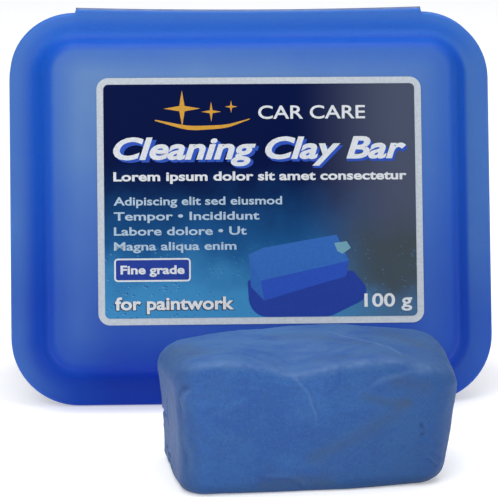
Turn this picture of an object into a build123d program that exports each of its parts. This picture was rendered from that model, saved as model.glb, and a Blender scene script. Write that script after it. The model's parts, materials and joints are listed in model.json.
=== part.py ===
from build123d import *
from math import cos, radians, sin, tan
import os

os.makedirs("parts", exist_ok=True)

# A bar of detailing clay, standing in front of its own storage case. The case is two shallow
# shells, joined along the top by a moulded hinge, and stands half open like an easel.
# X is to the right, Y is away from the front, Z is up. Millimetres and degrees.

# ---- driving dimensions: the case ----
case_width = 116.8  # along the hinge
case_length = 95.0  # from the opening edge to the hinge edge
opening_corner = 16.4  # outline radius beside the opening edge
hinge_corner = 16.0  # outline radius beside the hinge
wall = 1.3
rim = 1.6  # thickness of the flat rims
parting_gap = 0.15  # each rim stops this far short of the plane where they meet
rim_edge_radius = 0.7
lean = 14.35  # each half leans this far from upright

# ---- the lid, seen as a raised panel inside a flat shoulder ----
lid_height = 11.0
lid_wall_foot = 6.8  # from the outer edge to the foot of the panel's wall
panel_inset = 8.9  # from the outer edge to the edge of the panel
panel_edge_height = 10.0
crown_width = 8.0  # the panel rises to its full height over this width
lid_cavity_inset = 8.3

# ---- the base, a deeper tray with a closing rib ----
base_depth = 22.0
base_wall_foot = 8.9
base_draft = 8.0
base_bottom_radius = 4.0
rib_thickness = 1.0
rib_height = 2.3
thumb_notch_width = 22.0
thumb_notch_depth = 2.0

# ---- the hinge ----
flange_width = 84.4
flange_thickness = 0.8
flange_reach = 1.2  # beyond the rim
hinge_reach = 1.9  # from the rim to the hinge axis
web_thickness = 0.3
bead_radius = 0.3

# ---- the label ----
label_width = 78.1
label_height = 59.3
label_corner = 2.8
label_border = 1.6
label_right = 1.67  # its middle, from the middle of the lid
label_up = 48.6  # its middle, from the opening edge
vinyl_thickness = 0.15
print_thickness = 0.08

# ---- the clay bar ----
bar_length = 63.2
bar_depth = 39.0
bar_height = 29.6
bar_taper = 2.4  # the sides spread upwards
bar_side_radius = 6.0
bar_top_radius = 5.0
bar_bottom_radius = 2.0
bar_turn = 5.3  # anticlockwise, seen from above
bar_right = 7.35  # its middle, from the middle of the case
bar_forward = 60.1  # its middle, in front of the lid's foot

# ---- where things stand ----
hinge_from_foot = case_length + hinge_reach
foot_span = 2 * hinge_from_foot * sin(radians(lean))

# The base reaches furthest back on the rounded edge of its underside.
base_bottom_inset = base_wall_foot + (base_depth - rim) * tan(radians(base_draft))
base_edge_centre = base_bottom_inset + base_bottom_radius * (
    1 / cos(radians(base_draft)) - tan(radians(base_draft))
)
base_back = (
    foot_span
    + (base_depth - base_bottom_radius) * cos(radians(lean))
    - base_edge_centre * sin(radians(lean))
    + base_bottom_radius
)

# The bar reaches furthest forward at one corner, where its sides meet the rounded top.
bar_slope = tan(radians(bar_taper))
bar_widest_length = bar_length - 2 * bar_top_radius * bar_slope
bar_widest_depth = bar_depth - 2 * bar_top_radius * bar_slope
bar_widest_radius = bar_side_radius + (bar_height - bar_top_radius) * bar_slope
turn_cos, turn_sin = cos(radians(bar_turn)), sin(radians(bar_turn))
bar_reach = (bar_widest_depth * turn_cos + bar_widest_length * turn_sin) / 2
bar_front = bar_forward + bar_reach - bar_widest_radius * (turn_cos + turn_sin - 1)

lid_foot_y = (bar_front - base_back) / 2
base_foot_y = lid_foot_y + foot_span
foot_z = -parting_gap * sin(radians(lean))
hinge_y = (lid_foot_y + base_foot_y) / 2
hinge_z = foot_z + hinge_from_foot * cos(radians(lean))

# Both planes are the parting plane, with Y running from the opening edge to the hinge and
# Z pointing out of the case.
lid_plane = Plane(
    origin=(0, lid_foot_y, foot_z),
    x_dir=(1, 0, 0),
    z_dir=(0, -cos(radians(lean)), sin(radians(lean))),
)
base_plane = Plane(
    origin=(0, base_foot_y, foot_z),
    x_dir=(-1, 0, 0),
    z_dir=(0, cos(radians(lean)), sin(radians(lean))),
)


def case_outline(inset):
    """The case's outline, drawn this far inside its outer edge."""
    with BuildSketch() as outline:
        with Locations((0, case_length / 2)):
            Rectangle(case_width - 2 * inset, case_length - 2 * inset)
        opening_end = outline.vertices().group_by(Axis.Y)[0]
        fillet(opening_end, max(opening_corner - inset, 3.0))
        hinge_end = outline.vertices().group_by(Axis.Y)[-1]
        fillet(hinge_end, max(hinge_corner - inset, 3.0))
    return outline.sketch


def tier(plane, low, low_inset, high, high_inset, mode=Mode.ADD):
    """One tier of a shell, from the outline at one height to the outline at another."""
    with BuildSketch(plane.offset(low)) as low_outline:
        add(case_outline(low_inset))
    with BuildSketch(plane.offset(high)) as high_outline:
        add(case_outline(high_inset))
    loft(sections=[low_outline.sketch, high_outline.sketch], ruled=True, mode=mode)


def hinge_flange(plane):
    """The strip that carries a rim out towards the hinge."""
    with BuildSketch(plane.offset(parting_gap)) as strip:
        with Locations((0, case_length)):
            Rectangle(flange_width, 2 * flange_reach)
    extrude(strip.sketch, amount=flange_thickness)


def label_sheet(low, thickness, border):
    """A layer of the label, flat on the middle of the lid."""
    with BuildSketch(lid_plane.offset(low)) as sheet:
        with Locations((label_right, label_up)):
            RectangleRounded(
                label_width - 2 * border, label_height - 2 * border, label_corner - border
            )
    extrude(sheet.sketch, amount=thickness)


# ---- case_lid ----
with BuildPart() as case_lid:
    with BuildSketch(lid_plane.offset(parting_gap)):
        add(case_outline(0))
    extrude(amount=rim)
    lid_axis = Axis(lid_plane.origin, lid_plane.z_dir)
    fillet(case_lid.edges().group_by(lid_axis)[-1], rim_edge_radius)
    hinge_flange(lid_plane)
    tier(lid_plane, rim, lid_wall_foot, panel_edge_height, panel_inset)
    tier(lid_plane, panel_edge_height, panel_inset, lid_height, panel_inset + crown_width)
    tier(
        lid_plane,
        parting_gap,
        lid_cavity_inset,
        panel_edge_height - wall,
        panel_inset + wall,
        mode=Mode.SUBTRACT,
    )
    tier(
        lid_plane,
        panel_edge_height - wall,
        panel_inset + wall,
        lid_height - wall,
        panel_inset + crown_width,
        mode=Mode.SUBTRACT,
    )
case_lid.part.label = "case_lid"

# ---- case_base ----
base_cavity_inset = base_wall_foot + wall
with BuildPart() as case_base:
    base_axis = Axis(base_plane.origin, base_plane.z_dir)
    with BuildSketch(base_plane.offset(parting_gap)):
        add(case_outline(0))
    extrude(amount=rim)
    fillet(case_base.edges().group_by(base_axis)[-1], rim_edge_radius)
    hinge_flange(base_plane)
    tier(base_plane, rim, base_wall_foot, base_depth, base_bottom_inset)
    fillet(case_base.edges().group_by(base_axis)[-1], base_bottom_radius)
    with BuildSketch(base_plane.offset(parting_gap)):
        add(case_outline(base_cavity_inset - rib_thickness))
    extrude(amount=-parting_gap - rib_height)
    tier(
        base_plane,
        -rib_height - 1,
        base_cavity_inset,
        0,
        base_cavity_inset,
        mode=Mode.SUBTRACT,
    )
    tier(
        base_plane,
        0,
        base_cavity_inset,
        base_depth - wall,
        base_bottom_inset + wall,
        mode=Mode.SUBTRACT,
    )
    with BuildSketch(base_plane):
        with Locations((0, -thumb_notch_depth)):
            SlotOverall(thumb_notch_width, 4 * thumb_notch_depth)
    extrude(amount=2 * rim, mode=Mode.SUBTRACT)
case_base.part.label = "case_base"

# ---- living_hinge: the thin web that both flanges bend about ----
hinge_section = Plane(
    origin=(-flange_width / 2 + 1, base_foot_y, foot_z),
    x_dir=base_plane.y_dir,
    z_dir=(1, 0, 0),
)
with BuildPart() as living_hinge:
    with BuildSketch(base_plane.offset(parting_gap)):
        with Locations((0, case_length + (flange_reach + hinge_reach) / 2)):
            Rectangle(flange_width - 2, hinge_reach - flange_reach)
    extrude(amount=web_thickness)
    with BuildSketch(hinge_section):
        with Locations((hinge_from_foot, 0)):
            Circle(bead_radius)
    extrude(amount=flange_width - 2)
living_hinge.part.label = "living_hinge"

# ---- label_vinyl and label_print ----
with BuildPart() as label_vinyl:
    label_sheet(lid_height, vinyl_thickness, 0)
label_vinyl.part.label = "label_vinyl"

with BuildPart() as label_print:
    label_sheet(lid_height + vinyl_thickness, print_thickness, label_border)
label_print.part.label = "label_print"

# ---- clay_bar ----
bar_spread = 2 * bar_height * bar_slope
bar_plane = Plane(
    origin=(bar_right, lid_foot_y - bar_forward, 0),
    x_dir=(turn_cos, turn_sin, 0),
    z_dir=(0, 0, 1),
)
with BuildPart() as clay_bar:
    with BuildSketch(bar_plane):
        RectangleRounded(bar_length - bar_spread, bar_depth - bar_spread, bar_side_radius)
    extrude(amount=bar_height, taper=-bar_taper)
    fillet(clay_bar.edges().group_by(Axis.Z)[-1], bar_top_radius)
    fillet(clay_bar.edges().group_by(Axis.Z)[0], bar_bottom_radius)
clay_bar.part.label = "clay_bar"

pieces = [case_lid, case_base, living_hinge, label_vinyl, label_print, clay_bar]
for piece in pieces:
    export_step(piece.part, f"parts/{piece.part.label}.step")

whole = Compound(children=[piece.part for piece in pieces]).bounding_box()
print("box", whole.min, whole.max, "hinge axis at y, z", round(hinge_y, 3), round(hinge_z, 3))
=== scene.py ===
import json
import math

import bmesh
import bpy
import numpy as np
from mathutils import Matrix, Vector, geometry, noise


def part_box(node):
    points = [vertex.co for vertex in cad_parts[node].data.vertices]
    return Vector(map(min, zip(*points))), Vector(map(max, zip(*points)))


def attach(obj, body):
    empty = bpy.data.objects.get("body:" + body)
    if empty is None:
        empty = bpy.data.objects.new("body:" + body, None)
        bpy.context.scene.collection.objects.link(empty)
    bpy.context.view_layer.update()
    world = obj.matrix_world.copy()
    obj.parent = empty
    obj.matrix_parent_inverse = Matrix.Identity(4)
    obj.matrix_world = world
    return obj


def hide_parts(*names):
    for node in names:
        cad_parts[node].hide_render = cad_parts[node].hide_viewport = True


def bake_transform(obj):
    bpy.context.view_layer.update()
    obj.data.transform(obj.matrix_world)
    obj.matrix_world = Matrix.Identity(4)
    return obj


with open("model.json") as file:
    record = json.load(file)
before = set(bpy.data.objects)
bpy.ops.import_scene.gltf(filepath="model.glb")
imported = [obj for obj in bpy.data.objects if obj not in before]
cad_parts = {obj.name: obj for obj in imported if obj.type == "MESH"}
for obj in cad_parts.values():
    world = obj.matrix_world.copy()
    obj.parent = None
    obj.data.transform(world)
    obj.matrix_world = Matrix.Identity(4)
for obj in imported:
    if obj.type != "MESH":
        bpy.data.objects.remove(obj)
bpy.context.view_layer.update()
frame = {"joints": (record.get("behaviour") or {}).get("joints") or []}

# Sizes below are in millimetres and degrees. Shapes are placed in metres, in the row frame.
MM = 0.001

# ---- the case, as in the CAD model ----
hinge = next(joint for joint in frame["joints"] if joint["name"] == "case_hinge")
hinge_point = Vector(hinge["pos_m"])
lean = -hinge["range_deg"][0] / 2
lid_low, lid_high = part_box("case_lid")
case_width = (lid_high.x - lid_low.x) / MM
case_length = 95.0
hinge_reach = 1.9
opening_corner = 16.4
hinge_corner = 16.0
least_corner = 3.0
parting_gap = 0.15
rim = 1.6
wall = 1.3
lid_height = 11.0
panel_stretch = 0.024  # the lid's panel comes this share nearer the hinge and opening edges
base_depth = 22.0
flange_width = 84.4
flange_reach = 1.2
flange_sag = 0.6  # the flange's edge is a shallow curve, lowest in the middle
flange_root = 1.6  # how far in from the rim's edge the flange begins to bend out
flange_end_slope = 0.35  # each end rises to its full reach over this width
notch_width = 22.0
notch_depth = 2.0
notch_fade = 6.0  # the notch dies away this far in from the edge
# A shell's rings, named by how far each lies inside the outline.
middle_inset = 44.0  # next to the middle, where a shell begins and ends
flat_inset = 30.0
crown_inset = 17.5

# ---- the label ----
label_width = 78.1
label_height = 59.3
label_corner = 2.8
label_border = 1.6
label_right = 1.67  # its middle, from the lid's middle
label_up = 48.6  # its middle, from the opening edge
vinyl_thickness = 0.15
print_thickness = 0.06
ink = 0.006  # each printed layer lies this far above the last

# ---- the clay bar ----
bar_low, bar_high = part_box("clay_bar")
bar_turn = 5.3

# ---- the camera ----
camera_distance = 720.0
camera_azimuth = -3.37
camera_elevation = 11.24
camera_roll = 0.15
camera_right = -1.12  # what it looks at, from the middle of the case
camera_up = 38.3
camera_lens = 216.7


def half_matrix(side):
    """Places a half of the case: x along the hinge, y from opening edge to hinge, z outwards."""
    angle = math.radians(lean)
    right = Vector((side, 0, 0))
    up = Vector((0, side * math.sin(angle), math.cos(angle)))
    out = Vector((0, -side * math.cos(angle), math.sin(angle)))
    foot = hinge_point - up * (case_length + hinge_reach) * MM
    matrix = Matrix((right, up, out)).transposed().to_4x4() * MM
    matrix.translation = foot
    matrix[3][3] = 1
    return matrix


LID_SIDE, BASE_SIDE = 1, -1
lid_matrix = half_matrix(LID_SIDE)
base_matrix = half_matrix(BASE_SIDE)
label_matrix = lid_matrix @ Matrix.Translation((label_right, label_up, lid_height))


# ---- mesh helpers ----
def new_object(name, vertices, faces, matrix=None, smooth=True):
    """A mesh object with its places already in the row frame."""
    mesh = bpy.data.meshes.new(name)
    mesh.from_pydata([tuple(v) for v in vertices], [], [tuple(f) for f in faces])
    if matrix is not None:
        mesh.transform(matrix)
    mesh.update()
    if smooth:
        mesh.shade_smooth()
    obj = bpy.data.objects.new(name, mesh)
    bpy.context.scene.collection.objects.link(obj)
    return obj


def add_value(obj, name, values):
    """One number for each vertex, for a material to read."""
    attribute = obj.data.attributes.new(name, "FLOAT", "POINT")
    attribute.data.foreach_set("value", np.asarray(values, np.float32))


def belongs(obj, material, body, node=None):
    """Gives a piece its material, the body it moves with and the node it stands for."""
    obj.data.materials.append(material)
    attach(obj, body)
    if node:
        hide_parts(node)


def rounded_path(corners, steps=6):
    """A path of straight runs joined by arcs. Each corner is (x, y, radius)."""
    path = []
    for index, (x, y, radius) in enumerate(corners):
        here = Vector((x, y))
        if radius == 0:
            path.append(here)
            continue
        before = (Vector(corners[index - 1][:2]) - here).normalized()
        after = (Vector(corners[(index + 1) % len(corners)][:2]) - here).normalized()
        half_angle = before.angle(after) / 2
        centre = here + (before + after).normalized() * radius / math.sin(half_angle)
        start = here + before * radius / math.tan(half_angle) - centre
        end = here + after * radius / math.tan(half_angle) - centre
        for step in range(steps + 1):
            path.append(centre + start.slerp(end, step / steps) * radius)
    return path


def case_ring(inset, corner_steps=16, side_steps=72):
    """Points round the case's outline, this far inside its edge, the same number each time."""
    half_width = case_width / 2 - inset
    low, high = inset, case_length - inset
    low_radius = max(opening_corner - inset, least_corner)
    high_radius = max(hinge_corner - inset, least_corner)
    corners = [
        (half_width - low_radius, low + low_radius, low_radius),
        (half_width - high_radius, high - high_radius, high_radius),
        (-half_width + high_radius, high - high_radius, high_radius),
        (-half_width + low_radius, low + low_radius, low_radius),
    ]
    arcs = []
    for quarter, (x, y, radius) in enumerate(corners):
        angles = [math.radians(90 * (quarter - 1 + step / corner_steps)) for step in range(corner_steps + 1)]
        arcs.append([Vector((x + radius * math.cos(a), y + radius * math.sin(a))) for a in angles])
    points = []
    for arc, next_arc in zip(arcs, [*arcs[1:], arcs[0]]):
        points.extend(arc)
        for step in range(1, side_steps):
            # the points of a straight run crowd towards its ends
            share = 0.5 - 0.5 * math.cos(math.pi * step / side_steps)
            points.append(arc[-1].lerp(next_arc[0], share))
    return points


def shell(name, profile, matrix, shape):
    """A closed shell: the profile's points are rings of the outline, from one middle to the other.

    shape(x, y, inset, height) may move a point, and returns its new place."""
    vertices, insets = [], []
    for inset, height in profile:
        for x, y in case_ring(inset):
            vertices.append(shape(x, y, inset, height))
            insets.append(inset)
    count = len(case_ring(0))
    faces = []
    for ring in range(len(profile) - 1):
        for step in range(count):
            here = ring * count + step
            beside = ring * count + (step + 1) % count
            faces.append((here, here + count, beside + count, beside))
    last = (len(profile) - 1) * count
    faces.append(tuple(range(count)))
    faces.append(tuple(reversed(range(last, last + count))))
    obj = new_object(name, vertices, faces, matrix)
    add_value(obj, "inset", insets)
    add_value(obj, "across", [vertex[0] / case_width + 0.5 for vertex in vertices])
    add_value(obj, "along", [vertex[1] / case_length for vertex in vertices])
    return obj


# ---- materials ----
class Graph:
    """A material's node graph."""

    def __init__(self, name):
        self.material = bpy.data.materials.new(name)
        self.material.use_nodes = True
        self.tree = self.material.node_tree
        self.surface = self.tree.nodes["Principled BSDF"]

    def node(self, kind, values=None, **settings):
        """A node, with values or links for its inputs."""
        made = self.tree.nodes.new(kind)
        for key, value in settings.items():
            setattr(made, key, value)
        for key, value in (values or {}).items():
            self.set(made.inputs[key], value)
        return made

    def set(self, socket, value):
        """Links a socket, or gives it a plain value."""
        if isinstance(value, bpy.types.NodeSocket):
            self.tree.links.new(value, socket)
        else:
            socket.default_value = value

    def finish(self, **values):
        """Sets the surface's inputs by name, and returns the material."""
        for key, value in values.items():
            self.set(self.surface.inputs[key.replace("_", " ").title().replace("Ior", "IOR")], value)
        return self.material

    def place(self, scale):
        """The object's own coordinates, in millimetres, times a scale."""
        coordinates = self.node("ShaderNodeTexCoord").outputs["Object"]
        scales = tuple(each / MM for each in scale)
        values = {0: coordinates, 1: scales}
        return self.node("ShaderNodeVectorMath", values, operation="MULTIPLY").outputs[0]

    def noise(self, size, detail=2.0, roughness=0.5, stretch=(1, 1, 1), distortion=0.0):
        """Noise whose blotches are about this many millimetres across."""
        values = {
            "Vector": self.place([each / size for each in stretch]),
            "Scale": 1.0,
            "Detail": detail,
            "Roughness": roughness,
            "Distortion": distortion,
        }
        return self.node("ShaderNodeTexNoise", values).outputs["Fac"]

    def ramp(self, value, low, high, out_low=0.0, out_high=1.0):
        """Goes smoothly from out_low to out_high while the value goes from low to high."""
        values = {
            "Value": value,
            "From Min": low,
            "From Max": high,
            "To Min": out_low,
            "To Max": out_high,
        }
        return self.node("ShaderNodeMapRange", values, interpolation_type="SMOOTHSTEP").outputs["Result"]

    def mix(self, share, first, second):
        """The first colour at a share of 0, the second at 1."""
        made = self.node("ShaderNodeMix", {0: share}, data_type="RGBA")
        self.set(made.inputs[6], first)
        self.set(made.inputs[7], second)
        return made.outputs[2]

    def math(self, operation, first, second=0.0, third=0.0):
        return self.node("ShaderNodeMath", {0: first, 1: second, 2: third}, operation=operation).outputs[0]

    def times(self, first, second):
        return self.math("MULTIPLY", first, second)

    def value(self, name):
        """The number that the mesh holds for each vertex."""
        return self.node("ShaderNodeAttribute", attribute_name=name).outputs["Fac"]

    def bump(self, height, depth, normal=None):
        """Bumps whose full height is this many millimetres."""
        values = {"Height": height, "Distance": depth * MM}
        if normal is not None:
            values["Normal"] = normal
        return self.node("ShaderNodeBump", values).outputs["Normal"]


def colour(red, green, blue):
    """A colour as a screen shows it, 0 to 255, as the linear values that shaders take."""
    linear = []
    for channel in (red, green, blue):
        share = channel / 255
        linear.append(share / 12.92 if share <= 0.04045 else ((share + 0.055) / 1.055) ** 2.4)
    return (*linear, 1.0)


def plastic_material():
    """Frosted blue polypropylene, with painted light: a painted pale sheen on the flats and edges, which
    stays off the folds, so they keep a deep blue.

    inset is how far inside the outline a point lies, and across and along go from 0 to 1."""
    graph = Graph("case_polypropylene")
    inset = graph.value("inset")
    across, along = graph.value("across"), graph.value("along")
    aside = graph.math("ABSOLUTE", graph.math("SUBTRACT", across, 0.5))
    low_side = graph.times(graph.ramp(aside, 0.26, 0.38), graph.ramp(along, 0.5, 0.2))

    # the panel's painted sheen, a painted reflection of the light, fades towards the bottom, the right and
    # the panel's edge, but low down it stays stronger towards both sides
    upwards = graph.ramp(along, 0.0, 0.8, 0.18, 1.0)
    painted_sheen_reach = graph.times(upwards, graph.ramp(across, 1.0, 0.2, 0.75, 1.0))
    painted_sheen_reach = graph.math("MULTIPLY_ADD", low_side, 0.18, painted_sheen_reach)
    edge_step = graph.ramp(inset, 9.2, 11.2, 0.0, 0.55)
    inner_rise = graph.ramp(inset, 9.5, 17.5, 0.0, 0.45)
    painted_panel_sheen = graph.times(graph.math("ADD", edge_step, inner_rise), painted_sheen_reach)

    # the rim's painted haze of light ends softly on the left and abruptly on the right
    outer_end = graph.math("MULTIPLY_ADD", across, 3.9, 1.2)
    inner_end = graph.math("MULTIPLY_ADD", across, -0.4, 6.8)
    painted_rim_haze = graph.ramp(inset, inner_end, outer_end, 0.0, 0.85)
    low_corner = graph.times(graph.ramp(aside, 0.33, 0.47), graph.ramp(across, 0.2, 0.9, 0.75, 0.45))
    low_corner = graph.times(low_corner, graph.ramp(along, -0.05, 0.12, 0.5, 1.0))
    low_down = graph.math("MAXIMUM", graph.ramp(along, 0.0, 0.5, 0.06, 1.0), low_corner)
    painted_rim_haze = graph.times(painted_rim_haze, low_down)
    at_top = graph.ramp(inset, 3.6, 0.8, 0.15, 0.65)
    painted_rim_haze = graph.times(painted_rim_haze, graph.ramp(along, 0.84, 0.98, 1.0, at_top))

    clouds = graph.noise(16.0, 3.0)
    # painted sheen on the panel and painted haze of light on the rim, paler where they lie
    painted_sheen_share = graph.times(graph.math("MAXIMUM", painted_panel_sheen, painted_rim_haze), graph.ramp(clouds, 0.3, 0.7, 0.86, 1.0))
    painted_sheen_tint = graph.mix(painted_panel_sheen, colour(76, 119, 181), colour(97, 133, 183))
    # painted light: the deep blue is lighter towards the top and at the low sides
    lighter = graph.math("MAXIMUM", graph.ramp(along, -0.05, 0.8), graph.times(low_side, 0.35))
    deep = graph.mix(lighter, colour(0, 47, 161), colour(10, 80, 184))
    # painted light on the top rim's fold
    painted_top_rim_light = graph.times(graph.ramp(along, 0.86, 0.96), graph.ramp(inset, 7.0, 5.0))
    deep = graph.mix(painted_top_rim_light, deep, colour(18, 95, 197))
    base = graph.mix(painted_sheen_share, deep, painted_sheen_tint)
    frost = graph.noise(0.45, 3.0, 0.7)
    specks = graph.times(graph.ramp(frost, 0.45, 0.75, 0.0, 0.12), along)
    base = graph.mix(specks, base, colour(100, 140, 198))
    normal = graph.bump(frost, 0.012, graph.bump(graph.noise(12.0, 2.0), 0.2))
    return graph.finish(
        base_color=base,
        roughness=graph.ramp(clouds, 0.3, 0.7, 0.44, 0.54),
        normal=normal,
        specular_ior_level=0.15,
        subsurface_weight=0.35,
        subsurface_radius=(0.2, 0.5, 1.0),
        subsurface_scale=0.003,
        ior=1.49,
    )


def hinge_material():
    """Polypropylene that folding has whitened."""
    graph = Graph("hinge_polypropylene")
    crazing = graph.noise(1.2, 4.0, 0.6, stretch=(0.3, 1, 1))
    base = graph.mix(graph.ramp(crazing, 0.3, 0.7), colour(70, 94, 146), colour(104, 122, 162))
    return graph.finish(base_color=base, roughness=0.5, normal=graph.bump(crazing, 0.03))


def film_material(name, tint, roughness=0.4):
    """Label film or ink: one tint, broken by a faint grain."""
    graph = Graph(name)
    grain = graph.noise(0.6, 2.0)
    darker = tuple(0.9 * channel for channel in tint[:3]) + (1.0,)
    base = graph.mix(graph.ramp(grain, 0.35, 0.65), darker, tint)
    normal = graph.bump(grain, 0.003)
    return graph.finish(base_color=base, roughness=roughness, normal=normal, specular_ior_level=0.25)


def print_material():
    """The label's ground: navy above, wet blue paint below, with a painted grey sheen of reflected light to
    the right.
    """
    graph = Graph("label_ground")
    across, along = graph.value("across"), graph.value("along")
    cloud = graph.times(graph.math("SUBTRACT", graph.noise(9.0, 3.0), 0.5), 0.25)
    lift = graph.math("ADD", along, cloud)
    ground = graph.mix(graph.ramp(lift, 0.66, 0.24), colour(2, 16, 62), colour(26, 82, 136))
    ground = graph.mix(graph.ramp(lift, 0.34, 0.06), ground, colour(60, 132, 182))
    # painted sheen: a grey reflection of the light towards the right
    painted_sheen_right = graph.times(graph.ramp(across, 0.6, 0.97), graph.ramp(lift, -0.3, 0.5, 0.45, 1.0))
    ground = graph.mix(painted_sheen_right, ground, colour(70, 77, 98))
    greener = graph.times(graph.ramp(across, 0.7, 0.88, 0.0, 0.8), graph.ramp(lift, 0.5, 0.3))
    greener = graph.times(greener, graph.ramp(lift, 0.06, 0.18))
    ground = graph.mix(greener, ground, colour(62, 72, 74))
    wet = graph.times(graph.ramp(lift, 0.4, 0.2), graph.ramp(graph.noise(4.0), 0.42, 0.56))
    wet = graph.times(wet, graph.ramp(across, 0.4, 0.1, 0.35, 1.0))
    # each drop is a dark spot, with a fainter pale one shifted from it
    drop_tints = [
        ((0.0, 0.0, 0.0), 0.8, colour(18, 62, 124)),
        ((0.18, 0.0, 0.25), 0.4, colour(120, 176, 208)),
    ]
    for shift, strength, tint in drop_tints:
        places = graph.place((0.75, 0.75, 1.1))
        shifted = graph.node("ShaderNodeVectorMath", {0: places, 1: shift}, operation="ADD").outputs[0]
        cells = graph.node("ShaderNodeTexVoronoi", {"Vector": shifted, "Scale": 1.0, "Randomness": 1.0})
        drops = graph.ramp(cells.outputs["Distance"], 0.28, 0.16, 0.0, strength)
        ground = graph.mix(graph.times(wet, drops), ground, tint)
    normal = graph.bump(graph.noise(5.0), 0.01)
    return graph.finish(base_color=ground, roughness=0.38, normal=normal, specular_ior_level=0.04)


def clay_material():
    """Kneaded clay: matt, faintly waxy, with smears of paler and greyer blue, paler dust with painted light
    on top, painted shade low down, on its left end and in its dents, and painted highlights on its proud
    lines and upper front edge.
    """
    graph = Graph("blue_clay")
    smear = graph.noise(12.0, 4.0, 0.6, stretch=(0.8, 1.0, 1.2), distortion=1.4)
    streak = graph.noise(5.0, 4.0, 0.62, stretch=(0.7, 1.0, 1.1), distortion=1.2)
    fine = graph.noise(1.0, 5.0, 0.8)
    grain = graph.noise(0.5, 2.0, 0.6)
    base = graph.mix(graph.ramp(smear, 0.35, 0.65), colour(33, 84, 156), colour(43, 97, 166))
    base = graph.mix(graph.ramp(streak, 0.5, 0.74, 0.0, 0.35), base, colour(54, 88, 140))
    base = graph.mix(graph.ramp(streak, 0.44, 0.28, 0.0, 0.25), base, colour(62, 106, 170))
    base = graph.mix(graph.ramp(fine, 0.5, 0.8, 0.0, 0.45), base, colour(78, 118, 172))
    base = graph.mix(graph.ramp(fine, 0.47, 0.25, 0.0, 0.65), base, colour(36, 72, 124))
    base = graph.mix(graph.ramp(grain, 0.5, 0.8, 0.0, 0.2), base, colour(84, 120, 168))
    base = graph.mix(graph.ramp(grain, 0.5, 0.25, 0.0, 0.3), base, colour(36, 72, 120))
    # paler dust on the upward faces, with painted light from above
    top_dust_and_light = graph.times(graph.value("top_dust_and_light"), graph.ramp(smear, 0.3, 0.6, 0.05, 0.35))
    base = graph.mix(top_dust_and_light, base, colour(78, 112, 148))
    # painted shade, low down, to the right and on the left end
    shade = graph.times(graph.value("shade"), graph.ramp(smear, 0.3, 0.6, 0.75, 1.0))
    base = graph.mix(shade, base, colour(8, 54, 98))
    # kneaded smears of dirt, and painted shade on the left end
    smudge_and_end_shade = graph.times(graph.value("smears_and_end_shade"), graph.ramp(fine, 0.3, 0.65, 0.5, 1.0))
    base = graph.mix(smudge_and_end_shade, base, colour(58, 78, 104))
    # painted shade in the dents and pits, painted highlights on the proud lines and the front's upper edge
    base = graph.mix(graph.ramp(graph.value("painted_groove_shade"), 0.0, 1.0, 0.0, 0.6), base, colour(28, 54, 108))
    base = graph.mix(graph.ramp(graph.value("painted_ridge_and_edge_highlight"), 0.0, 1.0, 0.0, 0.55), base, colour(100, 134, 184))
    pores = graph.noise(0.5, 3.0, 0.7)
    normal = graph.bump(streak, 0.1)
    normal = graph.bump(fine, 0.12, normal)
    normal = graph.bump(pores, 0.05, normal)
    return graph.finish(
        base_color=base,
        roughness=graph.ramp(fine, 0.3, 0.7, 0.48, 0.62),
        normal=normal,
        specular_ior_level=0.4,
        subsurface_weight=0.12,
        subsurface_radius=(0.3, 0.6, 1.0),
        subsurface_scale=0.0015,
        ior=1.45,
    )


# ---- the case ----
def half_shape(x, y, inset, height):
    """Carries the rim outwards into the flange along the hinge."""
    tolerance = 0.01
    at_hinge_edge = y >= case_length - inset - tolerance
    if not at_hinge_edge or height < 0 or inset > flange_root:
        return (x, y, height)
    reach = flange_reach - flange_sag * (1 - (2 * x / flange_width) ** 2)
    end = np.clip((flange_width / 2 - abs(x)) / flange_end_slope + 0.5, 0, 1)
    root = 1 - np.clip(inset / flange_root, 0, 1) ** 2
    return (x, y + reach * end * root, height)


def lid_shape(x, y, inset, height):
    """As half_shape, with the panel reaching nearer to the hinge and opening edges."""
    x, y, height = half_shape(x, y, inset, height)
    stretch_start, stretch_width = 3.0, 5.0
    raised = np.clip((inset - stretch_start) / stretch_width, 0, 1)
    return (x, y + (y - case_length / 2) * panel_stretch * raised, height)


def base_shape(x, y, inset, height):
    """As half_shape, with a notch for a thumb in the middle of the opening edge."""
    x, y, height = half_shape(x, y, inset, height)
    if y > case_length / 2 or height < 0 or inset > notch_fade:
        return (x, y, height)
    radius = 2 * notch_depth
    past_flat = max(abs(x) - (notch_width / 2 - radius), 0)
    bite = math.sqrt(max(radius**2 - past_flat**2, 0)) - notch_depth
    return (x, y + max(bite, 0) * (1 - inset / notch_fade), height)


# Each profile's points are (inset, height, radius of its bend), from the outside to the inside.
rim_edge = [(0.0, parting_gap + rim, 0.7), (0.0, parting_gap, 0.25)]


def make_lid(material):
    crown_foot = lid_height - 1.15
    shoulder, panel_edge = 7.0, 9.4
    shoulder_height = 2.3
    cavity_edge, cavity_corner = 8.3, 10.4
    profile = rounded_path(
        [
            (middle_inset, lid_height, 0),
            (flat_inset, lid_height, 0),
            (crown_inset, lid_height, 26.0),
            (panel_edge, crown_foot, 3.0),
            (shoulder, shoulder_height, 4.8),
            *rim_edge,
            (cavity_edge, parting_gap, 0.3),
            (cavity_corner, crown_foot - wall, 1.4),
            (crown_inset, lid_height - wall, 24.0),
            (flat_inset, lid_height - wall, 0),
            (middle_inset, lid_height - wall, 0),
        ],
        8,
    )
    lid = shell("lid_shell", profile, lid_matrix, lid_shape)
    belongs(lid, material, "case_lid", "case_lid")


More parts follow.
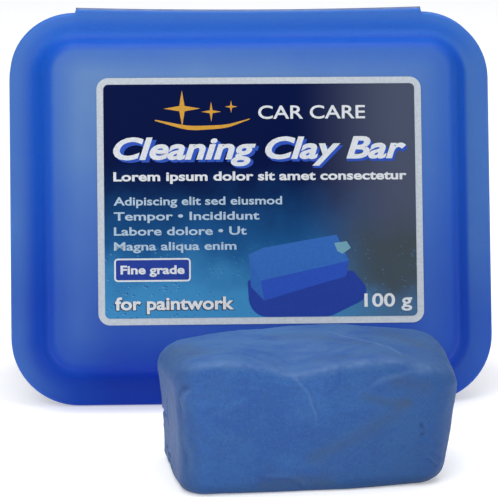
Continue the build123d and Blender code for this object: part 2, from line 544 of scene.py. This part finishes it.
def make_base(material):
    wall_foot, bottom_corner, cavity_corner = 8.9, 11.75, 13.0
    rib_top, rib_outside, rib_inside = -2.3, 9.2, 10.2
    profile = rounded_path(
        [
            (middle_inset, base_depth, 0),
            (flat_inset, base_depth, 0),
            (bottom_corner, base_depth, 4.0),
            (wall_foot, parting_gap + rim, 1.2),
            *rim_edge,
            (rib_outside, parting_gap, 0.2),
            (rib_outside, rib_top, 0.35),
            (rib_inside, rib_top, 0.35),
            (rib_inside, parting_gap, 0),
            (cavity_corner, base_depth - wall, 3.0),
            (flat_inset, base_depth - wall, 0),
            (middle_inset, base_depth - wall, 0),
        ]
    )
    base = shell("base_shell", profile, base_matrix, base_shape)
    belongs(base, material, "case_base", "case_base")


def make_gate_mark(material):
    """The mark that moulding leaves in the middle of the base's outside."""
    turned = [(0.0, 0.3), (0.35, 0.26), (0.5, 0.06), (1.6, 0.06), (1.8, -0.1)]
    sectors = 32
    middle = case_length / 2
    vertices = [(0, middle, base_depth + turned[0][1])]
    for radius, height in turned[1:]:
        for step in range(sectors):
            angle = 2 * math.pi * step / sectors
            x, y = radius * math.cos(angle), middle + radius * math.sin(angle)
            vertices.append((x, y, base_depth + height))
    faces = [(0, 1 + step, 1 + (step + 1) % sectors) for step in range(sectors)]
    for ring in range(len(turned) - 2):
        for step in range(sectors):
            here = 1 + ring * sectors + step
            beside = 1 + ring * sectors + (step + 1) % sectors
            faces.append((here, here + sectors, beside + sectors, beside))
    last = 1 + (len(turned) - 2) * sectors
    faces.append(tuple(reversed(range(last, last + sectors))))
    gate = new_object("gate_mark", vertices, faces, base_matrix)
    for name, value in (("inset", middle_inset), ("across", 0.5), ("along", 0.5)):
        add_value(gate, name, [value] * len(vertices))
    belongs(gate, material, "case_base")


def make_hinge(material):
    """The web between the two flanges, curved round the hinge axis."""
    stations, columns = 12, 60
    overlap = 0.25  # how far it runs into each flange
    root = case_length + flange_reach - overlap
    # heights at the flanges, and at the crest above the axis
    top_heights, under_heights = (0.85, 0.45), (0.2, -0.1)
    vertices, faces = [], []

    def curve(height, crest, share, lower):
        start = lid_matrix @ Vector((0, root - lower, height))
        end = base_matrix @ Vector((0, root - lower, height))
        middle = hinge_point + Vector((0, 0, (crest - lower) * MM))
        return (1 - share) ** 2 * start + 2 * share * (1 - share) * middle + share**2 * end

    side_gap = 0.05  # how much narrower it is than the flanges, on each side
    half = flange_width / 2 - side_gap
    for column in range(columns + 1):
        x = half * (2 * column / columns - 1)
        lower = flange_sag * (1 - (x / half) ** 2)
        top = [curve(*top_heights, step / stations, lower) for step in range(stations + 1)]
        under = [curve(*under_heights, step / stations, lower) for step in range(stations + 1)]
        for place in top + under[::-1]:
            vertices.append((x * MM, place.y, place.z))
    ring = 2 * (stations + 1)
    for column in range(columns):
        for step in range(ring):
            here, beside = column * ring + step, column * ring + (step + 1) % ring
            faces.append((here, here + ring, beside + ring, beside))
    faces.append(tuple(range(ring)))
    faces.append(tuple(reversed(range(columns * ring, (columns + 1) * ring))))
    strip = new_object("hinge_web", vertices, faces)
    strip.data.materials.append(material)
    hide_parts("living_hinge")
    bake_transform(strip)


# ---- the label ----
def slab(name, points, faces, level, thickness, material):
    """A thin closed sheet on the label: flat faces above, the same below, and a wall round them."""
    count = len(points)
    low, high = level, level + thickness
    vertices = [(x, y, high) for x, y in points] + [(x, y, low) for x, y in points]
    all_faces = [list(face) for face in faces] + [[i + count for i in face[::-1]] for face in faces]
    edges = {}
    for face in faces:
        for first, second in zip(face, [*face[1:], face[0]]):
            edges[(first, second)] = edges.get((first, second), 0) + 1
    for first, second in edges:
        if (second, first) not in edges:
            all_faces.append([second, first, first + count, second + count])
    sheet = new_object(name, vertices, all_faces, label_matrix, smooth=False)
    belongs(sheet, material, "case_lid")
    return sheet


def polygons(outlines):
    """The points and triangles that fill some outlines."""
    points, faces = [], []
    for outline in outlines:
        flat = [Vector((x, y, 0)) for x, y in outline]
        for triangle in geometry.tessellate_polygon([flat]):
            a, b, c = (flat[i] for i in triangle)
            turn = (b - a).cross(c - a).z
            face = [i + len(points) for i in triangle]
            faces.append(face if turn > 0 else face[::-1])
        points.extend((x, y) for x, y in outline)
    return points, faces


def rounded_box(left, low, right, high, radius):
    corners = [(left, low, radius), (right, low, radius), (right, high, radius), (left, high, radius)]
    return [tuple(point) for point in rounded_path(corners, 8)]


def frame_of(outer, inner):
    """The points and faces between two outlines with the same number of points."""
    count = len(outer)
    faces = [[i, (i + 1) % count, count + (i + 1) % count, count + i] for i in range(count)]
    return [*outer, *inner], faces


def smoothed(values, passes=8):
    """Rounds off the bends in a run of values and keeps its ends."""
    for _ in range(passes):
        inner = [(a + 2 * b + c) / 4 for a, b, c in zip(values, values[1:], values[2:])]
        values = [values[0], *inner, values[-1]]
    return values


def brush(centres, widths):
    """The points and faces of a stroke with rounded ends.

    widths are its half-widths at the points it runs through."""
    places, halves = [], []
    steps, across = 10, 13
    for index in range(len(centres) - 1):
        for step in range(steps):
            share = step / steps
            places.append(Vector(centres[index]).lerp(Vector(centres[index + 1]), share))
            halves.append(widths[index] * (1 - share) + widths[index + 1] * share)
    places.append(Vector(centres[-1]))
    halves.append(widths[-1])
    places, halves = smoothed(places), smoothed(halves)
    ways = [(b - a).normalized() for a, b in zip([places[0], *places[:-1]], [*places[1:], places[-1]])]
    cap_steps, nearly_closed = 6, 88
    rows = []
    for step in range(cap_steps):
        angle = math.radians(nearly_closed * (1 - step / cap_steps))
        start = places[0] - ways[0] * halves[0] * math.sin(angle)
        rows.append((start, ways[0], halves[0] * math.cos(angle)))
    rows.extend(zip(places, ways, halves))
    for step in range(1, cap_steps + 1):
        angle = math.radians(nearly_closed * step / cap_steps)
        end = places[-1] + ways[-1] * halves[-1] * math.sin(angle)
        rows.append((end, ways[-1], halves[-1] * math.cos(angle)))
    points = []
    for place, way, half in rows:
        side = Vector((way.y, -way.x))
        for step in range(across):
            share = step / (across - 1)
            points.append(tuple(place + side * half * (2 * share - 1)))
    faces = []
    for row in range(len(rows) - 1):
        for step in range(across - 1):
            here = row * across + step
            faces.append([here, here + 1, here + across + 1, here + across])
    return points, faces


def ink_text(name, words, left, baseline, right, cap_height, level, material, slant=0.0, weight=0.0):
    """Printed words, fitted between left and right, with capitals this high."""

    def outline_of(body):
        data = bpy.data.curves.new(name, "FONT")
        data.body, data.shear, data.offset = body, slant, weight
        data.extrude = 0.5  # scaled to the ink's thickness below
        data.resolution_u = 4
        holder = bpy.data.objects.new(name, data)
        bpy.context.scene.collection.objects.link(holder)
        bpy.context.view_layer.update()
        evaluated = holder.evaluated_get(bpy.context.evaluated_depsgraph_get())
        mesh = bpy.data.meshes.new_from_object(evaluated)
        bpy.data.objects.remove(holder)
        # the curve's faces and walls are separate sheets until their edges are joined
        solid = bmesh.new()
        solid.from_mesh(mesh)
        join_distance = 1e-5
        bmesh.ops.remove_doubles(solid, verts=solid.verts, dist=join_distance)
        bmesh.ops.recalc_face_normals(solid, faces=solid.faces)
        solid.to_mesh(mesh)
        solid.free()
        mesh.shade_flat()
        places = np.array([vertex.co for vertex in mesh.vertices])
        return mesh, places.min(0), places.max(0)

    _, cap_low, cap_high = outline_of("H")
    mesh, low, high = outline_of(words)
    wide = (right - left) / (high[0] - low[0])
    tall = cap_height / (cap_high[1] - cap_low[1])
    thick = ink / (high[2] - low[2])
    shift = Matrix.Translation((left, baseline, level + ink / 2))
    size = Matrix.Diagonal((wide, tall, thick, 1))
    mesh.transform(label_matrix @ shift @ size @ Matrix.Translation((-low[0], -cap_low[1], 0)))
    mesh.update()
    lettering = bpy.data.objects.new(name, mesh)
    bpy.context.scene.collection.objects.link(lettering)
    belongs(lettering, material, "case_lid")


def star(x, y, size, waist):
    """A four-pointed sparkle."""
    points = []
    for index in range(8):
        reach = size if index % 2 == 0 else waist
        angle = math.radians(90 + 45 * index)
        points.append((x + reach * math.cos(angle), y + reach * math.sin(angle)))
    return points


def patch(name, outline, level, ink_name, tint):
    """A flat patch of one ink."""
    slab(name, *polygons([outline]), level, ink, film_material(ink_name, colour(*tint)))


def make_picture(level):
    """The printed picture: a block of clay on wet paint."""
    shade = rounded_path(
        [(-3.4, -19.0, 1.0), (-2.8, -28.0, 4.5), (16.5, -28.0, 5.0), (27.0, -23.0, 3.0), (22.0, -17.0, 1.0)]
    )
    patch("picture_shadow", shade, level, "ink_deep_blue", (22, 56, 150))
    top = [(-3.0, -13.0), (0.6, -11.4), (18.2, -8.4), (21.1, -14.7), (-0.1, -19.3)]
    patch("picture_clay_top", top, level + ink, "ink_clay_top", (42, 100, 180))
    front = [(-0.1, -19.3), (21.1, -14.7), (20.4, -18.4), (10.5, -21.2), (0.6, -24.1)]
    patch("picture_clay_front", front, level + ink, "ink_clay_front", (32, 76, 180))
    end = [(-3.0, -13.0), (-0.1, -19.3), (0.6, -24.1), (-2.5, -20.8)]
    patch("picture_clay_end", end, level + ink, "ink_clay_end", (38, 96, 176))
    gleam = [(17.6, -10.4), (20.6, -10.0), (21.6, -11.6), (19.6, -13.0), (18.4, -12.4)]
    patch("picture_gleam", gleam, level + 2 * ink, "ink_gleam", (108, 158, 176))


def make_label():
    white = film_material("ink_white", colour(214, 218, 222))
    soft_white = film_material("ink_soft_white", colour(168, 190, 208))
    gold = film_material("ink_gold", colour(206, 152, 52), 0.3)
    bright_blue = film_material("ink_bright_blue", colour(30, 76, 180))
    badge_blue = film_material("ink_badge_blue", colour(20, 54, 146))
    dark = film_material("ink_dark", colour(10, 26, 58))
    left, right = -35.2, 35.3  # the longest lines' ends, from the label's middle

    half_width, half_height = label_width / 2, label_height / 2
    outline = rounded_box(-half_width, -half_height, half_width, half_height, label_corner)
    points, faces = polygons([outline])
    film = film_material("label_vinyl", colour(190, 198, 206))
    vinyl = slab("label_film", points, faces, 0.0, vinyl_thickness, film)
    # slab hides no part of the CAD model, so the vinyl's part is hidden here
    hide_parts("label_vinyl")

    print_width, print_height = half_width - label_border, half_height - label_border
    corner = label_corner - label_border
    outline = rounded_box(-print_width, -print_height, print_width, print_height, corner)
    points, faces = polygons([outline])
    ground = slab("label_ground", points, faces, vinyl_thickness, print_thickness, print_material())
    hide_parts("label_print")
    add_value(ground, "across", [(x / print_width + 1) / 2 for x, y in points] * 2)
    add_value(ground, "along", [(y / print_height + 1) / 2 for x, y in points] * 2)
    level = vinyl_thickness + print_thickness
    make_picture(level)

    swoosh_line = [(-25.0, 19.4), (-17.0, 17.4), (-8.0, 17.8), (-2.4, 19.6)]
    swoosh, faces = brush(swoosh_line, [0.15, 0.55, 0.4, 0.1])
    slab("gold_swoosh", swoosh, faces, level, ink, gold)
    sparkles = [star(-18.6, 22.2, 4.4, 0.9), star(-11.6, 21.4, 2.4, 0.5), star(-6.8, 22.6, 1.5, 0.35)]
    slab("gold_sparkles", *polygons(sparkles), level, ink, gold)
    ink_text("words_above", "CAR CARE", -0.3, 19.6, 25.5, 3.2, level, white, weight=0.012)
    headline = "Cleaning Clay Bar"
    ink_text("headline_shadow", headline, left + 0.6, 9.3, right + 0.5, 5.4, level, bright_blue, 0.25, 0.05)
    ink_text("headline", headline, left, 9.9, right, 5.4, level + ink, white, 0.25, 0.03)
    subline = "Lorem ipsum dolor sit amet consectetur"
    ink_text("filler_subline", subline, left, 4.8, right, 2.2, level, white, weight=0.03)
    filler = [
        ("Adipiscing elit sed eiusmod", -1.0, 5.2),
        ("Tempor \u2022 Incididunt", -4.6, -0.3),
        ("Labore dolore \u2022 Ut", -8.2, -3.4),
        ("Magna aliqua enim", -11.8, -5.9),
    ]
    for index, (words, baseline, end) in enumerate(filler):
        ink_text(f"filler_line_{index + 1}", words, left, baseline, end, 2.0, level, soft_white, weight=0.02)
    outer = rounded_box(left, -19.3, -16.9, -13.7, 0.9)
    inner = rounded_box(left + 0.4, -18.9, -17.3, -14.1, 0.5)
    slab("badge_edge", *frame_of(outer, inner), level, ink, white)
    slab("badge_ground", *polygons([inner]), level, ink, badge_blue)
    ink_text("badge_words", "Fine grade", left + 1.5, -17.5, -18.4, 2.1, level + ink, white, weight=0.03)
    ink_text("foot_shadow", "for paintwork", left - 0.1, -26.3, -6.3, 3.2, level, dark, weight=0.065)
    ink_text("foot_words", "for paintwork", left + 0.1, -26.1, -6.6, 3.1, level + ink, white, weight=0.03)
    ink_text("weight", "100 g", 24.7, -25.8, 36.2, 3.2, level + 4 * ink, white, weight=0.02)


# ---- the clay bar ----
def box_lattice(steps):
    """Points on the surface of a cube from -1 to 1, and the faces between them."""
    index, points, faces = {}, [], []

    def point(key):
        if key not in index:
            index[key] = len(points)
            points.append([2 * key[axis] / steps[axis] - 1 for axis in range(3)])
        return index[key]

    for axis in range(3):
        first, second = (axis + 1) % 3, (axis + 2) % 3
        for level in (0, steps[axis]):
            for i in range(steps[first]):
                for j in range(steps[second]):
                    corners = []
                    for a, b in ((0, 0), (1, 0), (1, 1), (0, 1)):
                        key = [0, 0, 0]
                        key[axis], key[first], key[second] = level, i + a, j + b
                        corners.append(point(tuple(key)))
                    faces.append(corners if level else corners[::-1])
    return np.array(points), faces


def curve_through(x, knots):
    """A smooth curve through a few (place, value) knots."""
    places, values = np.array(knots, float).T
    slopes = np.gradient(values, places)
    x = np.clip(x, places[0], places[-1])
    index = np.clip(np.searchsorted(places, x) - 1, 0, len(places) - 2)
    width = places[index + 1] - places[index]
    t = (x - places[index]) / width
    start = (1 + 2 * t) * (1 - t) ** 2 * values[index] + t * (1 - t) ** 2 * width * slopes[index]
    end = t * t * (3 - 2 * t) * values[index + 1] + t * t * (t - 1) * width * slopes[index + 1]
    return start + end


def noise_at(places, size, seed, stretch=(1, 1, 1)):
    """Smooth noise from about -1 to 1 whose lumps are this many millimetres across."""
    scaled = places * np.array(stretch) / size + seed
    return np.array([noise.noise(Vector(place)) for place in scaled])


def nearness(places, line):
    """How far points are from a line of points, on which side, and how far along it (0 to 1)."""
    best = np.full(len(places), 1e9)
    side = np.zeros(len(places))
    travelled = np.zeros(len(places))
    total = len(line) - 1
    for index, (start, end) in enumerate(zip(line, line[1:])):
        start, run = np.array(start, float), np.array(end, float) - np.array(start, float)
        share = np.clip((places - start) @ run / (run @ run), 0, 1)
        offset = places - start - share[:, None] * run
        distance = np.hypot(*offset.T)
        nearer = distance < best
        best = np.where(nearer, distance, best)
        side = np.where(nearer, np.sign(run[0] * offset[:, 1] - run[1] * offset[:, 0]), side)
        travelled = np.where(nearer, (index + share) / total, travelled)
    return best, side, travelled


def groove(places, line, depth, width, lip=0.35):
    """The dent of a groove along a line of points, with a raised lip on its left side."""
    distance, side, travelled = nearness(places, line)
    ends = np.clip(np.minimum(travelled, 1 - travelled) * 5 + 0.15, 0, 1)
    dent = -depth * np.exp(-((distance / width) ** 2))
    bulge = lip * depth * np.exp(-(((distance - 2 * width) / (1.3 * width)) ** 2)) * (side > 0)
    return (dent + bulge) * ends


# How high the bar's top is along its front and its crown, and where its ends are at each height.
bar_front_top = [
    (-31, 27.2),
    (-25, 29.2),
    (-18, 29.3),
    (-11, 28.2),
    (-5, 26.5),
    (1, 27.5),
    (9, 28.5),
    (16, 28.8),
    (24, 27.4),
    (31, 25.6),
]
bar_back_top = [(-31, 25.6), (-22, 27.6), (-9, 28.9), (3, 29.6), (13, 29.0), (23, 28.1), (31, 26.8)]
bar_left_end = [(0, -29.6), (8, -29.6), (15, -30.1), (22, -30.8), (30, -31.5)]
bar_right_end = [(0, 28.7), (6, 30.0), (13, 30.9), (20, 31.4), (30, 30.9)]
bar_right_bulge = [(-19, 0.0), (-12, 0.9), (-2, 2.4), (8, 3.2), (19, 2.3)]  # at its top
bar_half = (31.2, 18.6)
bar_nominal_height = 29.0
bar_plan_corner = 6.3

# Lines that kneading and cutting have left: points, depth (below zero stands proud), width.
# On the front they are (along, up), on the top (along, back), on the left end (back, up).
front_lines = [
    ([(-27.9, 24.9), (-29.6, 23.2), (-29.9, 20.6), (-29.4, 16.0)], 0.42, 0.42),
    ([(-29.4, 17.0), (-29.2, 12.3), (-28.2, 8.6), (-28.4, 5.0)], 0.25, 0.5),
    ([(-5.9, 26.8), (-3.9, 24.7), (-2.2, 21.9), (-0.7, 18.5), (-0.2, 14.6)], -0.15, 0.38),
    ([(-13.2, 3.4), (-6.0, 3.0), (-2.4, 0.6)], 0.2, 0.4),
    ([(24.2, 6.2), (27.0, 3.9)], 0.2, 0.3),
    ([(24.8, 8.0), (28.2, 5.6)], 0.14, 0.3),
    ([(0.7, 3.8), (5.7, 6.4), (10.1, 9.6), (13.4, 11.8)], -0.07, 0.35),
    ([(-0.4, 7.9), (3.9, 10.0), (8.9, 12.3), (17.2, 16.4)], 0.08, 0.7),
    ([(9.9, 22.2), (14.9, 24.9), (20.1, 26.0), (26.3, 25.2)], -0.12, 0.8),
    ([(10.5, 20.8), (14.4, 19.6), (18.2, 18.8)], 0.08, 0.6),
]
top_lines = [
    ([(6.0, 9.5), (10.2, 4.0), (14.8, -1.8), (17.9, -6.2), (19.2, -10.4), (19.7, -14.0)], -0.2, 0.4),
    ([(-8.5, -13.5), (-6.6, -18.0)], 0.12, 0.5),
    ([(-28.0, -3.0), (-20.0, -7.0), (-13.0, -6.0)], 0.08, 0.6),
    ([(-4.0, 9.0), (3.0, 6.0), (9.0, 2.0)], 0.08, 0.7),
]
end_lines = [
    ([(4.0, 11.4), (10.5, 11.7), (15.0, 11.0)], 0.4, 0.4),
    ([(-2.0, 3.9), (4.0, 3.6), (10.0, 4.6)], 0.55, 0.45),
    ([(-6.0, 2.6), (0.0, 2.8), (5.0, 2.2)], 0.35, 0.3),
    ([(-3.0, 21.0), (2.0, 16.0), (3.0, 9.0)], 0.2, 0.5),
]
front_pits = [
    (23.2, 13.9, 0.45),
    (23.2, 12.0, 0.45),
    (19.3, 9.2, 0.3),
    (16.5, 11.2, 0.22),
    (25.6, 22.8, 0.2),
    (27.0, 19.6, 0.22),
    (-15.0, 6.4, 0.25),
]
# Smears of dirt kneaded in: points, how wide, how strong.
front_smears = [
    ([(10.5, 20.8), (14.4, 19.6), (18.2, 18.8), (19.9, 19.1)], 1.0, 0.45),
    ([(19.9, 19.1), (17.2, 16.4), (8.9, 12.3), (3.9, 10.0), (-0.4, 7.9)], 1.5, 0.38),
    ([(-12.0, 2.0), (-4.0, 2.4), (3.0, 2.2)], 1.2, 0.5),
    ([(17.0, 24.0), (24.0, 22.4)], 1.6, 0.4),
]
top_smears = [
    ([(-6.0, 6.5), (2.0, 5.0), (9.4, -0.3), (14.0, -3.0)], 1.8, 0.3),
    ([(1.0, -11.5), (4.0, -11.9), (9.0, -12.4)], 0.9, 0.3),
    ([(15.5, -13.0), (19.7, -14.4)], 0.8, 0.45),
    ([(-27.0, 8.0), (-25.0, -6.0)], 3.5, 0.5),
    ([(20.0, 8.0), (27.0, -2.0)], 3.0, 0.4),
]


def rounded_corner(inward, beyond, radius):
    """Rounds a square corner. inward and beyond are distances from its two faces."""
    a = np.maximum(radius - inward, 0)
    b = np.maximum(radius - beyond, 0)
    length = np.hypot(a, b)
    scale = np.where(length > 0, np.maximum(a, b) / np.maximum(length, 1e-9), 1)
    return np.where(a > 0, radius - a * scale, inward), np.where(b > 0, radius - b * scale, beyond)


def bar_blank():
    """The bar's plain shape: a block with rounded corners, an uneven top and leaning ends."""
    lattice_steps = (168, 100, 80)
    points, faces = box_lattice(lattice_steps)
    half = np.array(bar_half)
    plan = points[:, :2] * half
    core = np.clip(plan, bar_plan_corner - half, half - bar_plan_corner)
    outward = plan - core
    square = np.abs(outward).max(1)
    direction = outward / np.maximum(np.linalg.norm(outward, axis=1), 1e-9)[:, None]
    inward = bar_plan_corner - square
    from_floor = (points[:, 2] + 1) / 2 * bar_nominal_height
    from_top = bar_nominal_height - from_floor
    along_share = points[:, 0]
    # the top is rounded least along the front, and the underside most at the ends
    crisp = np.clip(-direction[:, 1], 0, 1) * (1 - np.clip(along_share, 0, 1) ** 2)
    top_radius = 5.1 + 0.9 * np.minimum(along_share, 0) - 2.2 * crisp
    inward, from_top = rounded_corner(inward, from_top, top_radius)
    from_floor = bar_nominal_height - from_top
    bottom_radius = 1.3 + (1.9 + 0.8 * along_share) * along_share**2
    inward, from_floor = rounded_corner(inward, from_floor, bottom_radius)
    plan = core + direction * (bar_plan_corner - inward)[:, None]

    along, back = plan.T
    # the top's height goes smoothly from the front curve to the back one
    rise_start, rise_width = -16.0, 28.0
    rise = np.clip((back - rise_start) / rise_width, 0, 1)
    rise = rise * rise * (3 - 2 * rise)
    top = curve_through(along, bar_front_top) * (1 - rise) + curve_through(along, bar_back_top) * rise
    lift = from_floor / bar_nominal_height
    up = lift * top
    left, right = curve_through(up, bar_left_end), curve_through(up, bar_right_end)
    right = right + curve_through(back, bar_right_bulge) * lift**2
    along = left + (right - left) * (along / bar_half[0] + 1) / 2
    # the front leans, turns a little and swells low down
    to_front = np.clip(-back / bar_half[1], 0, 1)
    back = back * (0.97 + 0.03 * lift) + to_front * (0.045 - 0.03 * lift) * (along + 12) - 1.0 * to_front
    back = back - 0.9 * to_front * (1 - lift) * np.exp(-(((along - 8) / 8) ** 2))
    return np.stack([along, back, up], 1), faces


def make_bar(material):
    places, faces = bar_blank()
    bar = new_object("kneaded_bar", places, faces)
    normals = np.zeros(len(places) * 3, np.float32)
    bar.data.vertex_normals.foreach_get("vector", normals)
    normals = normals.reshape(-1, 3)
    on_front, on_top, on_end = np.clip(normals @ np.diag((-1.6, -1.6, 1.6)) - 0.3, 0, 1)[:, [1, 2, 0]].T

    wobble = np.stack([noise_at(places, 2.5, seed) for seed in (3.1, 7.7, 11.3)], 1) * 0.4
    bent = places + wobble
    front, top, end = bent[:, [0, 2]], bent[:, [0, 1]], bent[:, [1, 2]]
    carved = np.zeros(len(places))
    sides = ((on_front, front, front_lines), (on_top, top, top_lines), (on_end, end, end_lines))
    for facing, side, lines in sides:
        for line, depth, width in lines:
            carved += facing * groove(side, line, depth, width)
    for x, z, size in front_pits:
        gap = np.hypot(front[:, 0] - x, front[:, 1] - z)
        carved -= on_front * size * np.exp(-((gap / (0.9 * size)) ** 2))

    facets = noise_at(places, 13.0, 1.7) * 0.4 + noise_at(places, 6.5, 5.2) * 0.16
    folds = 1 - np.abs(noise_at(bent, 6.0, 9.4, (0.6, 1.0, 1.3))) * 2.4
    lumps = noise_at(places, 2.4, 2.9) * 0.08 + noise_at(places, 1.1, 6.1) * 0.035
    shift = carved + facets + np.clip(folds, 0, 1) ** 3 * 0.07 + lumps
    # the relief fades towards the floor
    shift *= np.clip(places[:, 2] / 1.5 + 0.2, 0, 1)
    places = places + normals * shift[:, None]
    places[:, 2] -= places[:, 2].min()

    # painted shade: darker low down, towards the right and on the left end
    shade = 0.5 * np.clip(1 - places[:, 2] / 3.0, 0, 1) + 0.2 * np.clip(1 - places[:, 2] / 22, 0, 1)
    shade += 0.42 * np.clip(places[:, 0] / 40 + 0.15, 0, 1) + 0.2 * on_end
    # painted shade on the left end, then kneaded smears of dirt
    smears_and_end_shade = 0.25 * on_end
    for facing, side, smears in ((on_front, front, front_smears), (on_top, top, top_smears)):
        for line, width, strength in smears:
            smears_and_end_shade += strength * facing * np.exp(-((nearness(side, line)[0] / width) ** 2))
    # painted highlight on the front's upper edge, where the light falls
    edge = np.clip(1 - np.abs(normals[:, 2] - 0.78) / 0.24, 0, 1) * np.clip(-normals[:, 1] * 2, 0, 1)
    # painted shade in the dents and pits
    add_value(bar, "painted_groove_shade", np.clip(-carved * 2.6, 0, 1))
    # painted highlights on the proud lines and the front's upper edge
    add_value(bar, "painted_ridge_and_edge_highlight", np.clip(carved * 3.5 + 0.5 * edge * (0.7 + noise_at(places, 1.6, 4.4)), 0, 1))
    add_value(bar, "smears_and_end_shade", np.clip(smears_and_end_shade, 0, 1))
    # the upward faces: paler dust, with painted light from above
    add_value(bar, "top_dust_and_light", on_top)
    add_value(bar, "shade", np.clip(shade, 0, 0.9))
    bar.data.vertices.foreach_set("co", places.astype(np.float32).ravel())
    middle = (bar_low + bar_high) / 2
    turn = Matrix.Rotation(math.radians(bar_turn), 4, "Z")
    bar.data.transform(Matrix.Translation((middle.x, middle.y, 0)) @ turn @ Matrix.Scale(MM, 4))
    bar.data.update()
    belongs(bar, material, "clay_bar", "clay_bar")


# ---- camera, floor and light ----
def make_camera():
    target = Vector((camera_right * MM, lid_matrix.translation.y, camera_up * MM))
    turn, rise = math.radians(camera_azimuth), math.radians(camera_elevation)
    back = Vector((math.sin(turn) * math.cos(rise), -math.cos(turn) * math.cos(rise), math.sin(rise)))
    data = bpy.data.cameras.new("camera")
    data.lens = camera_lens
    data.sensor_width = 36.0
    data.clip_start = 0.05
    camera = bpy.data.objects.new("camera", data)
    aim = back.to_track_quat("Z", "Y").to_matrix().to_4x4()
    place = Matrix.Translation(target + back * camera_distance * MM)
    camera.matrix_world = place @ aim @ Matrix.Rotation(math.radians(camera_roll), 4, "Z")
    bpy.context.scene.collection.objects.link(camera)
    bpy.context.scene.camera = camera


def make_floor():
    reach = 12.0  # metres
    corners = [(-reach, -reach, 0), (reach, -reach, 0), (reach, reach, 0), (-reach, reach, 0)]
    floor = new_object("floor", corners, [(0, 1, 2, 3)], smooth=False)
    graph = Graph("floor")
    grey, white = (0.8, 0.8, 0.8, 1), (1, 1, 1, 1)
    # it glows a little, to be as white as the background
    material = graph.finish(base_color=grey, roughness=0.9, emission_color=white, emission_strength=0.36)
    floor.data.materials.append(material)


def make_light(name, place, aim, size, power):
    data = bpy.data.lights.new(name, "AREA")
    data.shape = "RECTANGLE"
    data.size, data.size_y = size
    data.energy = power
    light = bpy.data.objects.new(name, data)
    light.location = place
    direction = Vector(aim) - Vector(place)
    light.rotation_euler = direction.to_track_quat("-Z", "Y").to_euler()
    bpy.context.scene.collection.objects.link(light)


def make_lights():
    world = bpy.data.worlds.new("studio")
    world.use_nodes = True
    tree = world.node_tree
    background = tree.nodes["Background"]
    coordinates = tree.nodes.new("ShaderNodeTexCoord")
    split = tree.nodes.new("ShaderNodeSeparateXYZ")
    ramp = tree.nodes.new("ShaderNodeMapRange")
    ramp.interpolation_type = "SMOOTHSTEP"
    for key, value in {"From Min": 0.1, "From Max": 0.8, "To Min": 0.2, "To Max": 0.7}.items():
        ramp.inputs[key].default_value = value
    tree.links.new(coordinates.outputs["Generated"], split.inputs[0])
    tree.links.new(split.outputs["Z"], ramp.inputs["Value"])
    tree.links.new(ramp.outputs["Result"], background.inputs["Strength"])
    background.inputs["Color"].default_value = (0.95, 0.97, 1.0, 1)
    bpy.context.scene.world = world
    make_light("key", (-0.2, -0.46, 0.42), (-0.01, -0.02, 0.05), (0.4, 0.3), 1.4)
    make_light("top", (0.05, 0.1, 0.9), (0, 0, 0.04), (0.9, 0.7), 5.0)


make_camera()
plastic = plastic_material()
make_lid(plastic)
make_base(plastic)
make_gate_mark(plastic)
make_hinge(hinge_material())
make_label()
make_bar(clay_material())
make_floor()
make_lights()
bpy.context.scene.view_settings.view_transform = "Standard"
